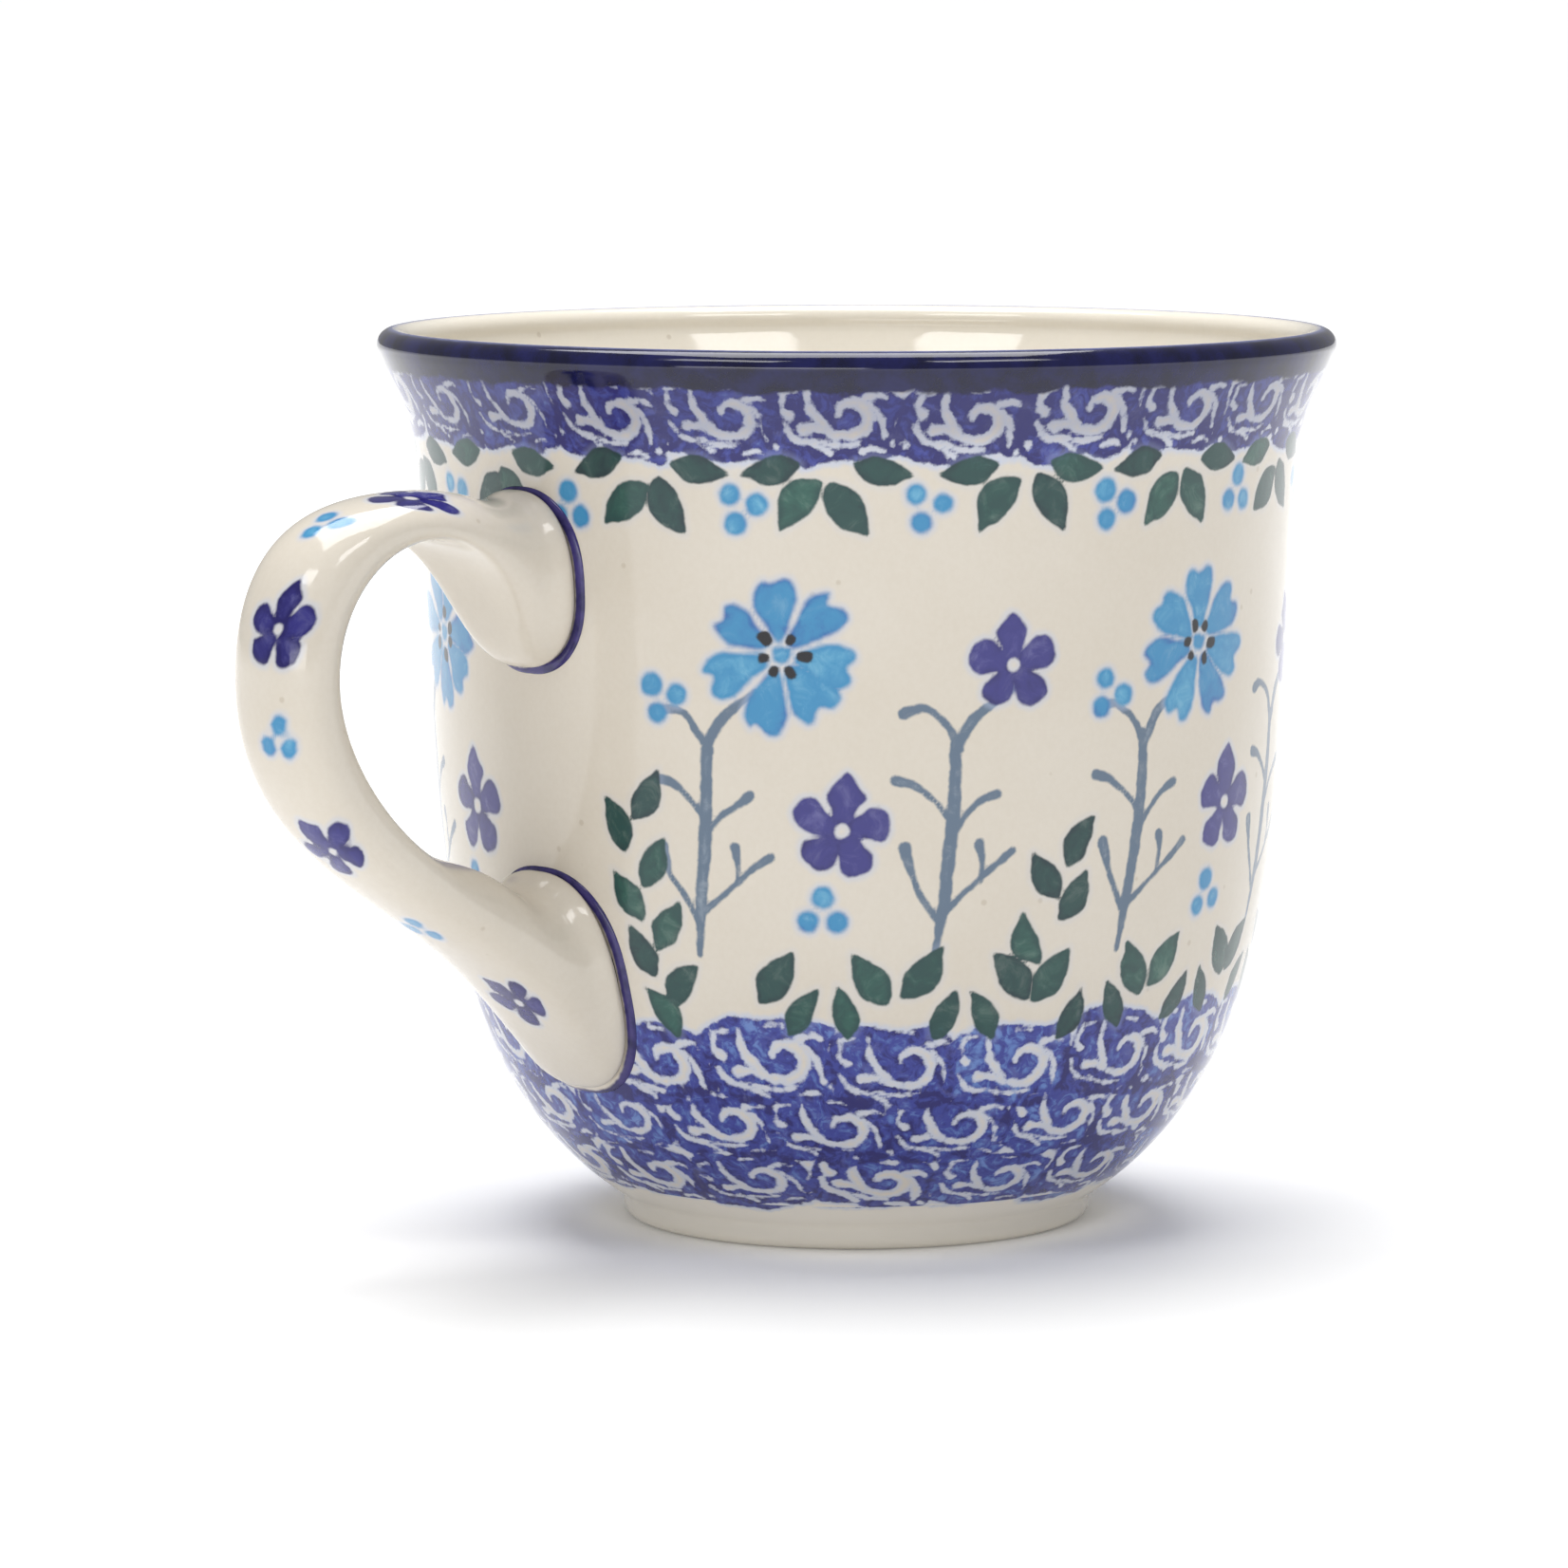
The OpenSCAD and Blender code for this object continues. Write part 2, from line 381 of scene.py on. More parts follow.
def dot(x0, y0, radius):
    return lambda x, y: np.hypot(x - x0, y - y0) - radius


def moved(shape, dx, dy):
    return lambda x, y: shape(x - dx, y - dy)


def wobbled(points, amount):
    points = np.asarray(points, float)
    return points + rng.normal(0, amount, points.shape)


# ---- motifs, each around its own origin, +y up ----


def leaf(length, width, bend=0.0):
    """A leaf along +x, plump near its foot and pointed at its tip."""
    t = np.array([0.0, 0.12, 0.3, 0.5, 0.7, 0.87, 1.0])
    half = width / 2 * np.array([0.08, 0.52, 0.96, 1.0, 0.76, 0.36, 0.0])
    middle = bend * 4 * t * (1 - t)
    upper = np.stack([t * length, middle + half], 1)
    lower = np.stack([t * length, middle - half], 1)[::-1]
    return filled(wobbled(np.concatenate([upper, lower[1:-1]]), 0.05), 3)


def notched_petal(inner, outer, width):
    """A petal along +x, narrow at its foot, with a notch to one side of its end."""
    half = width / 2
    long = outer - inner
    side = rng.choice([-1.0, 1.0])
    notch = rng.uniform(0.3, 0.95)
    points = [(inner, -0.26 * half), (inner + 0.3 * long, -0.62 * half),
              (inner + 0.62 * long, -0.96 * half), (outer - 0.55, -0.9 * half),
              (outer - 0.02, -0.42 * half), (outer - notch, 0.1 * half), (outer - 0.12, 0.5 * half),
              (outer - 0.8, 0.92 * half), (inner + 0.58 * long, 0.98 * half),
              (inner + 0.3 * long, 0.64 * half), (inner, 0.26 * half)]
    return filled(wobbled(points, 0.1) * [1.0, side], 3)


def round_petal(inner, outer, width, point=0.0):
    """A lobe along +x, squarish, with its end drawn out to a point by the distance point."""
    half = width / 2
    long = outer - inner
    points = [(inner, -0.42 * half), (inner + 0.35 * long, -0.72 * half),
              (inner + 0.68 * long, -half), (outer - 0.25 + 0.1 * point, -0.62 * half),
              (outer + point, 0.04 * half), (outer - 0.3 + 0.1 * point, 0.66 * half),
              (inner + 0.66 * long, 0.97 * half), (inner + 0.35 * long, 0.7 * half),
              (inner, 0.42 * half)]
    return filled(wobbled(points, 0.09), 3)


def big_flower(canvas, place, turn):
    """Seven notched petals around a small heart with dark stamens."""
    petals, stamens = 7, 6
    for k in range(petals):
        angle = turn + k * 360 / petals + rng.normal(0, 2.5)
        petal = notched_petal(1.45, rng.normal(7.0, 0.3), rng.normal(4.1, 0.22))
        canvas.draw("sky", place, [petal], rng.uniform(0.1, 0.95), angle, reach=8)
    heart = [dot(0, 0, 0.8), dot(0.5, 0.25, 0.45), dot(-0.4, 0.4, 0.4)]
    canvas.draw("sky", place, heart, 0.35, reach=3)
    for k in range(stamens):
        turned_by = turn + 20 + k * 360 / stamens + rng.normal(0, 7)
        seed = filled(wobbled([(1.25, -0.36), (2.15, -0.44), (2.3, 0.34), (1.35, 0.4)], 0.08), 3)
        canvas.draw("dark", place, [seed], 0.5, turned_by, rng.uniform(0.85, 1.25), reach=3)


def small_flower(canvas, place, turn, size, depth=0.0):
    """Five petals that run together around a pale heart. The first one is drawn out to a point.
    depth darkens the ink."""
    tone = rng.uniform(0.25, 0.75) + depth
    heart = [dot(0, 0, 0.6)]
    for k in range(5):
        angle = turn + 90 + k * 72 + rng.normal(0, 2)
        petal = round_petal(0.5, rng.normal(4.0, 0.12), rng.normal(3.0, 0.14), 0.8 if k == 0 else 0.0)
        canvas.draw("violet", place, [petal], tone + rng.uniform(-0.2, 0.25), angle, size / 9.0,
                    reach=6, cuts=heart)
    canvas.draw("violet", place, [dot(0, 0, 1.25)], tone + 0.2, 0.0, size / 9.0, reach=3, cuts=heart)


def dot_cluster(canvas, place, turn, size=1.0):
    """Three dots in a triangle."""
    for k in range(3):
        angle = math.radians(turn + 90 + 120 * k)
        out = 1.5
        spot = dot(out * math.cos(angle), out * math.sin(angle), rng.normal(1.02, 0.07))
        canvas.draw("sky", place, [spot], rng.uniform(0.1, 0.6), 0.0, size, reach=4)


def sapling(canvas, place):
    """A thin stem with three pairs of curved side twigs, the top right one a flower stalk."""
    def twig(points, widths):
        return brush(wobbled(points, 0.1), widths)
    parts = [
        twig([(0, 0), (0.6, 5.0), (1.2, 10.0), (1.5, 15.0), (1.5, 19.5)], [0.55, 1.1, 1.3, 1.2, 1.05]),
        twig([(1.5, 19.0), (3.0, 21.5), (5.0, 23.2), (7.0, 24.6)], [0.9, 1.1, 0.75, 0.5]),
        twig([(1.5, 19.0), (0.5, 21.0), (-0.8, 22.3), (-2.2, 22.8), (-3.5, 22.4)],
             [0.9, 0.7, 0.6, 0.8, 1.15]),
        twig([(1.4, 12.5), (0.2, 14.0), (-1.1, 15.2), (-2.4, 16.0), (-3.6, 16.4)],
             [0.7, 0.55, 0.55, 0.85, 1.0]),
        twig([(1.3, 11.0), (2.7, 12.9), (4.1, 14.2), (5.6, 15.0)], [0.65, 0.55, 0.65, 0.95]),
        twig([(0.4, 3.0), (-1.0, 5.4), (-2.2, 7.6), (-3.0, 10.0)], [0.65, 0.6, 0.6, 1.2]),
        twig([(0.5, 4.0), (2.3, 5.6), (4.0, 7.0), (5.6, 8.3), (7.2, 9.6)],
             [0.65, 0.55, 0.55, 0.65, 0.8]),
        twig([(4.0, 7.0), (4.1, 8.7), (4.0, 10.4)], [0.5, 0.5, 1.0]),
    ]
    for part in parts:
        canvas.draw("stem", place, [part], rng.uniform(0.2, 0.8), rng.normal(0, 0.6), reach=28)


def leaf_at(canvas, angle, height, direction, length=5.6, width=3.2, bend=0.0):
    """A leaf whose middle is at the place, pointing in a direction in degrees from the right."""
    shape = moved(leaf(length, width, bend), -length / 2, 0)
    canvas.draw("leaf", (angle, height), [shape], rng.uniform(0, 1), direction, reach=5)


def fan(inner, outer):
    """Four leaves set evenly about the middle of a spray. Each pair is given as its angle offset, height
    offset, tilt from the upright, length and width."""
    return [(side * across, up, 90 - side * tilt, length, width)
            for across, up, tilt, length, width in (inner, outer) for side in (-1, 1)]


def climber(count, low, high, lean):
    """Leaves set by turns left and right of a leaning line, at even steps from low to high."""
    leaves = []
    for n in range(count):
        side = 1 if n % 2 else -1
        share = n / (count - 1)
        leaves.append((lean * (1 - share) + 2.3 * side, low + (high - low) * share,
                       90 - 30 * side, 5.4, 2.7))
    return leaves


HANGING_SPRAY = fan((3.0, -1.8, 140, 6.0, 3.2), (7.0, 1.5, 100, 5.6, 2.6))
RISING_SPRAY = fan((3.2, 1.2, 35, 6.0, 3.1), (6.6, -2.2, 25, 5.4, 2.4))
SHORT_CLIMBER = climber(4, 31.0, 39.5, -2.0)
TALL_CLIMBER = climber(8, 23.5, 43.5, 5.0)
CLIMBER_ANGLE = 28.6
# Degrees around the foot of a tall climber in which the rising garland has no leaves of its own
CLIMBER_FOOT = (-6.0, 15.0)


def hanging_garland(canvas):
    repeats = 15
    for k in range(repeats):
        middle = -3.4 + k * 360 / repeats + rng.normal(0, 0.35)
        for da, dz, direction, length, width in HANGING_SPRAY:
            leaf_at(canvas, middle + da + rng.normal(0, 0.25), 71.9 + dz + rng.normal(0, 0.2),
                    direction + rng.normal(0, 5), length, width, rng.normal(0, 0.25))
        dot_cluster(canvas, (middle + 12.6, 69.9 + rng.normal(0, 0.3)), rng.uniform(-50, 50))


def rising_garland(canvas):
    repeats = 18
    for k in range(repeats):
        middle = 5.2 + k * 360 / repeats + rng.normal(0, 0.4)
        for da, dz, direction, length, width in RISING_SPRAY:
            angle = middle + da + rng.normal(0, 0.3)
            # the tall climbers stand 120 degrees apart, the first at CLIMBER_ANGLE + 60
            past_foot = (angle - CLIMBER_ANGLE) % 120 - 60
            if CLIMBER_FOOT[0] < past_foot < CLIMBER_FOOT[1]:
                continue
            leaf_at(canvas, angle, 26.3 + dz + rng.normal(0, 0.25),
                    direction + rng.normal(0, 6), length, width, rng.normal(0, 0.25))


def meadow(canvas):
    """The flowers of the main field, in six repeats."""
    repeats = 6
    for k in range(repeats):
        start = k * 360 / repeats
        sway = rng.normal(0, 0.3, 12)
        sapling(canvas, (start - 21.7 + sway[0], 29.2))
        beside_handle = k == repeats - 1
        if not beside_handle:
            sapling(canvas, (start + 10.7 + sway[1], 29.4))
        big_flower(canvas, (start - 9.8 + sway[2], 56.8 + sway[3]), rng.uniform(0, 45))
        if not beside_handle:
            small_flower(canvas, (start + 20.2 + sway[4], 55.7 + sway[5]), rng.uniform(-2, 20), 9.3)
        small_flower(canvas, (start - 1.6 + sway[6], 41.2 + sway[7]), rng.uniform(-8, 14), 10.2)
        dot_cluster(canvas, (start - 25.6, 52.6 + sway[8]), rng.uniform(20, 60))
        dot_cluster(canvas, (start - 4.5, 33.2 + sway[9]), rng.uniform(-12, 12))
        for da, height, direction, length, width in (TALL_CLIMBER if k % 2 else SHORT_CLIMBER):
            leaf_at(canvas, start + CLIMBER_ANGLE + da + rng.normal(0, 0.3), height + rng.normal(0, 0.3),
                    direction + rng.normal(0, 6), length, width, rng.normal(0, 0.3))


# ---- the sponge-stamped scroll bands ----


def scroll_strokes():
    """The pale lines that one scroll stamp leaves open: a C-scroll, a stalk, a comma and waves."""
    turn = np.radians(np.linspace(170, -85, 9))
    open_r = np.linspace(0.95, 2.3, 9)
    curl = np.stack([1.4 + open_r * np.cos(turn), 0.45 + open_r * np.sin(turn) * 0.95], 1)
    curl = np.concatenate([curl, [(-0.2, -1.45), (-1.5, -0.85), (-2.9, -0.9)]])
    return [
        brush(curl, [0.45, 0.65, 0.85, 1.0, 1.1, 1.15, 1.1, 1.05, 1.0, 0.75, 0.7, 1.15], 3),
        brush([(-2.4, 3.2), (-2.2, 1.4), (-1.4, 0.0), (-0.4, -1.3)], [0.35, 0.75, 0.95, 0.8], 4),
        brush([(-4.8, -0.5), (-3.8, -1.9), (-2.0, -2.5), (-0.6, -3.4)], [0.35, 0.6, 0.5, 0.45], 4),
        brush([(-2.2, -2.1), (0.2, -2.7), (2.2, -2.5)], [0.25, 0.5, 0.3], 4),
        brush([(3.3, 1.5), (4.2, 0.5), (4.6, -0.9), (4.7, -2.0)], [0.6, 0.6, 0.55, 0.35], 4),
        brush([(3.0, 2.2), (4.2, 2.5), (5.0, 2.2)], [0.75, 0.55, 0.35], 4),
        brush([(-4.7, 2.9), (-4.9, 1.4), (-4.2, 0.6)], [0.45, 0.55, 0.9], 4),
        brush([(-4.9, 2.9), (-3.5, 3.1)], [0.45, 0.35], 3),
        brush([(2.4, -3.4), (3.6, -3.1), (4.4, -3.4)], [0.3, 0.5, 0.3], 3),
        brush([(0.2, 3.6), (1.6, 3.5)], [0.3, 0.35], 3),
        dot(5.5, -2.6, 0.3),
        dot(-5.4, -2.6, 0.34),
    ]


def stamp_edge(half_w, half_h):
    """The uneven outline of one stamp."""
    angles = np.linspace(0, 360, 18, endpoint=False)
    c, s = np.cos(np.radians(angles)), np.sin(np.radians(angles))
    square = 5
    grow = (np.abs(c) ** square + np.abs(s) ** square) ** (-1 / square)
    points = np.stack([half_w * c * grow, half_h * s * grow], 1)
    return filled(wobbled(points, 0.34), 3)


def scroll_row(canvas, middle_z, count, first, half_h, flatten=1.0, scale=1.0, depth=0.0):
    """One row of overlapping scroll stamps around the cup. depth darkens the ink."""
    strokes = scroll_strokes()
    r = OUTSIDE.radius_at_height(middle_z)
    pitch = 2 * math.pi * r / count
    for k in range(count):
        place = (first + k * 360 / count + rng.normal(0, 0.35), middle_z + rng.normal(0, 0.22))
        edge = stamp_edge(pitch * 0.53, half_h)
        tone = rng.uniform(0.15, 0.85) + depth
        found = canvas.local(place, 9.0)
        if found is None:
            continue
        rows, columns, x, y = found
        turn = math.radians(rng.normal(0, 3.5))
        c, s = math.cos(turn), math.sin(turn)
        x, y = (x * c + y * s), (-x * s + y * c)
        inked = edge(x, y)
        fade = rng.normal(0, 0.07)
        for stroke in strokes:
            inked = np.maximum(inked, fade - stroke(x / scale, y / flatten / scale) * scale)
        canvas.ink("scroll", rows, columns, inked, tone)
        double = canvas.field("scroll_layers", 0)
        double[np.ix_(rows, columns)] += np.clip(0.5 - inked / 0.5, 0, 1)


def upper_scrolls(canvas):
    # the extra depth of this row's ink is painted shade under the flared rim
    scroll_row(canvas, 78.0, 24, -2.0, 4.1, 1.0, 0.94, 0.8)


def lower_scrolls(canvas):
    scroll_row(canvas, 19.0, 20, 5.0, 4.3, 1.02, 1.02)
    scroll_row(canvas, 12.8, 19, -4.0, 3.9, 0.95, 0.98)
    scroll_row(canvas, 7.4, 16, 3.0, 3.9, 0.92, 0.96)


# ---- strap handle ----

STRAP_MID_Z = 55.3
STRAP_T = 7.1
PALM = REACH - STRAP_T
UPPER_ROOT_R = 40.75
OUTER_UPPER = [[UPPER_ROOT_R, 69.2], [46.3, 71], [65, 74.7], [REACH, 68.2], [REACH, STRAP_MID_Z]]
OUTER_LOWER = [[REACH, STRAP_MID_Z], [REACH, 31.5], [43.5, 35.6], [38.5, 16.8], [34.7, 15.6]]
INNER_UPPER = [[UPPER_ROOT_R, 54.6], [50, 54.8], [39.6, 73.3], [PALM, 71], [PALM, STRAP_MID_Z]]
INNER_LOWER = [[PALM, STRAP_MID_Z], [PALM, 47.6], [56.2, 36], [54.5, 39.7], [39.15, 34.5]]
STRAP_HALF_W, UPPER_ROOT_HALF_W, LOWER_ROOT_HALF_W = 5.5, 6.5, 8.2
ROOT_DEPTH = 2.5
SECTION_POWER = 2 / 2.3
CAD_SECTIONS = 46


def strap_line(upper, lower, t):
    """A strap line at t: 0 to 2 along both halves, and a straight run into the wall past the ends."""
    inner = np.clip(t, 0, 2)
    point = np.where((inner < 1)[..., None], bezier(upper, np.minimum(inner, 1)),
                     bezier(lower, np.maximum(inner - 1, 0)))
    past = np.maximum(-t, 0) + np.maximum(t - 2, 0)
    return point - np.stack([past * 22 * ROOT_DEPTH, np.zeros_like(t)], -1)


def signed_power(v, e):
    return np.sign(v) * np.abs(v) ** e


def strap_point(t, angle):
    """Point of the strap's surface: t along it, angle around it from the outer face."""
    outer = strap_line(OUTER_UPPER, OUTER_LOWER, t)
    inner = strap_line(INNER_UPPER, INNER_LOWER, t)
    s = np.clip((1 + 22 * t) / CAD_SECTIONS, 0, 1)
    wide = (STRAP_HALF_W
            + (UPPER_ROOT_HALF_W - STRAP_HALF_W) * np.maximum(1 - s / 0.6, 0) ** 2
            + (LOWER_ROOT_HALF_W - STRAP_HALF_W) * np.maximum(1 - (1 - s) / 0.46, 0) ** 2)
    across = signed_power(np.cos(angle), SECTION_POWER)
    aside = signed_power(np.sin(angle), SECTION_POWER)
    flat = (outer + inner) / 2 + (outer - inner) / 2 * across[..., None]
    return np.stack([-flat[..., 0] + SKIN, wide * aside, flat[..., 1]], -1)


def above_wall(points):
    """How far points lie outside the wall."""
    return np.hypot(points[..., 0], points[..., 1]) - OUTSIDE.radius_at_height(points[..., 2])


def seam_t(angles, start, end):
    """For each angle around the strap, the t at which the strap's surface meets the wall."""
    t = np.linspace(start, end, 400)[:, None] * np.ones(len(angles))
    over = above_wall(strap_point(t, np.broadcast_to(angles, t.shape))) > 0
    first = np.argmax(over, axis=0)
    low = t[np.maximum(first - 1, 0), np.arange(len(angles))]
    high = t[first, np.arange(len(angles))]
    for _ in range(25):
        middle = (low + high) / 2
        is_over = above_wall(strap_point(middle, angles)) > 0
        high = np.where(is_over, middle, high)
        low = np.where(is_over, low, middle)
    return (low + high) / 2


class Root:
    """How far the strap swells out just before the wall, and dips before that, around a root.
    top is 1 where the strap's outer face is the root's top, and -1 where its inner face is."""

    def __init__(self, angles, top, swell, dip):
        upward = np.maximum(top * np.cos(angles), 0)
        self.swell = 0.3 * np.abs(np.sin(angles)) + swell * upward ** 1.5
        self.dip = dip * upward ** 1.5


class StrapCanvas(Canvas):
    """The strap's surface. A place is (mm along the outer face from the upper seam, mm aside)."""

    def __init__(self, rows, columns):
        super().__init__((rows, columns))
        u = np.linspace(0, 1, rows)
        crowd = 0.62
        self.u = u - crowd * np.sin(2 * math.pi * u) / (2 * math.pi)
        self.angles = np.arange(columns) * 2 * math.pi / columns
        self.upper_t = seam_t(self.angles, -0.045, 0.6)
        self.lower_t = seam_t(self.angles, 2.045, 1.4)
        self.t = self.upper_t + (self.lower_t - self.upper_t) * self.u[:, None]
        self.angle = np.broadcast_to(self.angles, self.t.shape)
        self.points = strap_point(self.t, self.angle)
        steps = np.linalg.norm(np.diff(self.points, axis=0), axis=-1)
        self.from_upper = np.concatenate([np.zeros((1, columns)), np.cumsum(steps, axis=0)])
        self.from_lower = self.from_upper[-1] - self.from_upper
        around = np.linalg.norm(self.points - np.roll(self.points, 1, axis=1), axis=-1)
        aside = np.cumsum(around, axis=1) - around[:, :1]
        self.aside = np.where(aside > around.sum(1)[:, None] / 2, aside - around.sum(1)[:, None], aside)
        self.along = np.broadcast_to(self.from_upper[:, :1], self.aside.shape)
        self.upper_root = Root(self.angles, 1.0, 1.15, 0.45)
        self.lower_root = Root(self.angles, -1.0, 1.3, 1.2)
        # the inner face lies far from anything drawn on the outer face
        inner_side = np.cos(self.angle) < -0.2
        self.aside = np.where(inner_side, self.aside + 50 * np.sign(self.aside), self.aside)

    def local(self, place, reach):
        along, aside = place
        rows = np.nonzero(np.abs(self.along[:, 0] - along) < reach)[0]
        columns = np.arange(self.shape[1])
        x = aside - self.aside[rows]
        y = -(self.along[rows] - along)
        return rows, columns, x, y


def rounded_ends(canvas, radius):
    """The strap's surface with its edges rolled in where the roots meet the wall."""
    points = canvas.points
    normal = np.cross(np.gradient(points, axis=0),
                      np.roll(points, -1, axis=1) - np.roll(points, 1, axis=1))
    normal /= np.linalg.norm(normal, axis=-1)[..., None]
    centre = points.mean(axis=1, keepdims=True)
    normal *= np.sign(((points - centre) * normal).sum(-1).mean())
    near = np.minimum(canvas.from_upper, canvas.from_lower)
    share = np.clip(1 - near / radius, 0, 1)
    swell = np.zeros_like(near)
    for far, root in ((canvas.from_upper, canvas.upper_root), (canvas.from_lower, canvas.lower_root)):
        swell += root.swell * np.exp(-((far - radius) / 1.5) ** 2)
        swell -= root.dip * np.exp(-((far - 5.5) / 2.8) ** 2)
    swell -= radius * 0.85 * (1 - np.sqrt(1 - share ** 2))
    return points + normal * swell[..., None], normal


def strap_shell(name, canvas, skin, normal):
    """The glaze around the strap as a closed shell."""
    rows, columns = canvas.shape
    picked = np.unique(np.linspace(rows - 1, 0, 90).astype(int))[::-1]
    back = skin[picked] - GLAZE_T * normal[picked]
    points = np.concatenate([skin.reshape(-1, 3), back.reshape(-1, 3)])
    total = rows + len(picked)
    ring = [k * columns for k in range(total)] + [0]
    fields = {}
    for field, values in canvas.fields.items():
        fields[field] = np.concatenate([values, values[picked]])
    return make_mesh(name, points, [grid_faces(ring, columns)], None, fields)


def strap_clay(name, skin, normal):
    """The clay strap under its glaze, closed, with both ends let into the wall."""
    columns = skin.shape[1]
    picked = np.unique(np.linspace(0, len(skin) - 1, 120).astype(int))
    rows = (skin - (GLAZE_T + 0.04) * normal)[picked, ::2]
    columns //= 2
    into_wall = np.array([ROOT_DEPTH - 0.5, 0, 0])
    rows = np.concatenate([rows[:1] + into_wall, rows, rows[-1:] + into_wall])
    ring = [k * columns for k in range(len(rows))]
    last = ring[-1]
    caps = [np.arange(columns)[None, ::-1], np.arange(last, last + columns)[None, :]]
    return make_mesh(name, rows.reshape(-1, 3), [grid_faces(ring, columns)] + caps)


def strap_flowers(canvas):
    """Small flowers and dot clusters along the outer face of the strap."""
    for along, aside, turn in [(16.2, -3.0, 10), (36.0, -2.4, -8), (58.3, -1.9, 12), (85.2, -1.5, 22)]:
        small_flower(canvas, (along, aside), turn, 8.2, 0.7)
    for along, aside, turn in [(24.6, -1.4, 40), (46.0, -2.2, -14), (72.1, -0.2, -20)]:
        dot_cluster(canvas, (along, aside), turn, 0.95)


BEAD_REACH = 0.62  # how far the bead reaches out over the wall


def seam_bead(name, seam, swell, thick_side):
    """The bead of cobalt-painted slip around a root. It follows the seam on the wall, and its line
    is thickest toward thick_side, in degrees."""
    n = len(seam)
    tangent = np.roll(seam, -1, axis=0) - np.roll(seam, 1, axis=0)
    tangent /= np.linalg.norm(tangent, axis=1)[:, None]
    wall_normal = np.stack([seam[:, 0], seam[:, 1], np.zeros(n)], 1)
    wall_normal /= np.linalg.norm(wall_normal, axis=1)[:, None]
    out = np.cross(tangent, wall_normal)
    out /= np.linalg.norm(out, axis=1)[:, None]
    if ((seam - seam.mean(0)) * out).sum() < 0:
        out = -out
    ring = []
    places = []
    steps = 14
    inner_reach, outer_reach, height, depth = 0.6, BEAD_REACH, 0.22, 0.25
    for k in range(steps):
        angle = 2 * math.pi * k / steps
        aside = (outer_reach + inner_reach) / 2 * math.cos(angle) + (outer_reach - inner_reach) / 2
        lift = height * math.sin(angle) if math.sin(angle) > 0 else depth * math.sin(angle)
        p = seam + out * (aside + 0.9 * swell)[:, None]
        r = OUTSIDE.radius_at_height(p[:, 2]) + lift
        scale = r / np.hypot(p[:, 0], p[:, 1])
        ring.append(np.stack([p[:, 0] * scale, p[:, 1] * scale, p[:, 2]], 1))
        places.append(np.full(n, aside))
    points = np.stack(ring)
    rows = [k * n for k in range(steps)] + [0]
    from_middle = seam - seam.mean(0)
    thick = math.radians(thick_side)
    facing = from_middle[:, 2] * math.sin(thick) - from_middle[:, 1] * math.cos(thick)
    facing = facing / np.abs(facing).max()
    fields = {"aside": np.stack(places), "weight": np.broadcast_to(facing, (steps, n))}
    return make_mesh(name, points.reshape(-1, 3), [grid_faces(rows, n)], None, fields)


# ---- materials ----


def rgb(r, g, b):
    """Linear colour from 8-bit sRGB."""
    def linear(c):
        c /= 255
        return c / 12.92 if c <= 0.04045 else ((c + 0.055) / 1.055) ** 2.4
    return (linear(r), linear(g), linear(b), 1.0)


CREAM, CREAM_WARM = rgb(212, 205, 193), rgb(204, 195, 180)
# a lighter copy of the cream, as painted light, for the inside and the foot
CREAM_LIT, CREAM_LIT_WARM = rgb(236, 230, 218), rgb(229, 222, 207)
COBALT, COBALT_DEEP = rgb(22, 24, 74), rgb(10, 11, 40)
# dark blue mixed in as painted shade under the flared rim
RIM_SHADE_BLUE = rgb(36, 38, 92)
SCROLL_LIGHT, SCROLL_MID, SCROLL_DEEP = rgb(92, 122, 184), rgb(54, 62, 142), rgb(34, 32, 100)
PALE_BLEED = rgb(178, 192, 220)
SKY_LIGHT, SKY_MID, SKY_DEEP = rgb(98, 168, 200), rgb(56, 134, 180), rgb(46, 96, 162)
VIOLET_LIGHT, VIOLET_MID, VIOLET_DEEP = rgb(84, 82, 152), rgb(52, 50, 122), rgb(34, 30, 90)
LEAF_LIGHT, LEAF_MID, LEAF_DEEP = rgb(46, 96, 84), rgb(30, 68, 66), rgb(20, 44, 52)
STEM_LIGHT, STEM_DEEP = rgb(140, 154, 168), rgb(92, 110, 130)
SOOT = rgb(12, 12, 20)
CLAY, CLAY_DARK, CLAY_SPECK = rgb(222, 210, 192), rgb(196, 180, 158), rgb(128, 108, 84)
IRON_SPECK = rgb(160, 142, 116)
COBALT_THIN, COBALT_TRACE = rgb(120, 128, 186), rgb(150, 158, 200)
SLIP_DEEP, SLIP_LIGHT = rgb(34, 30, 80), rgb(60, 52, 114)


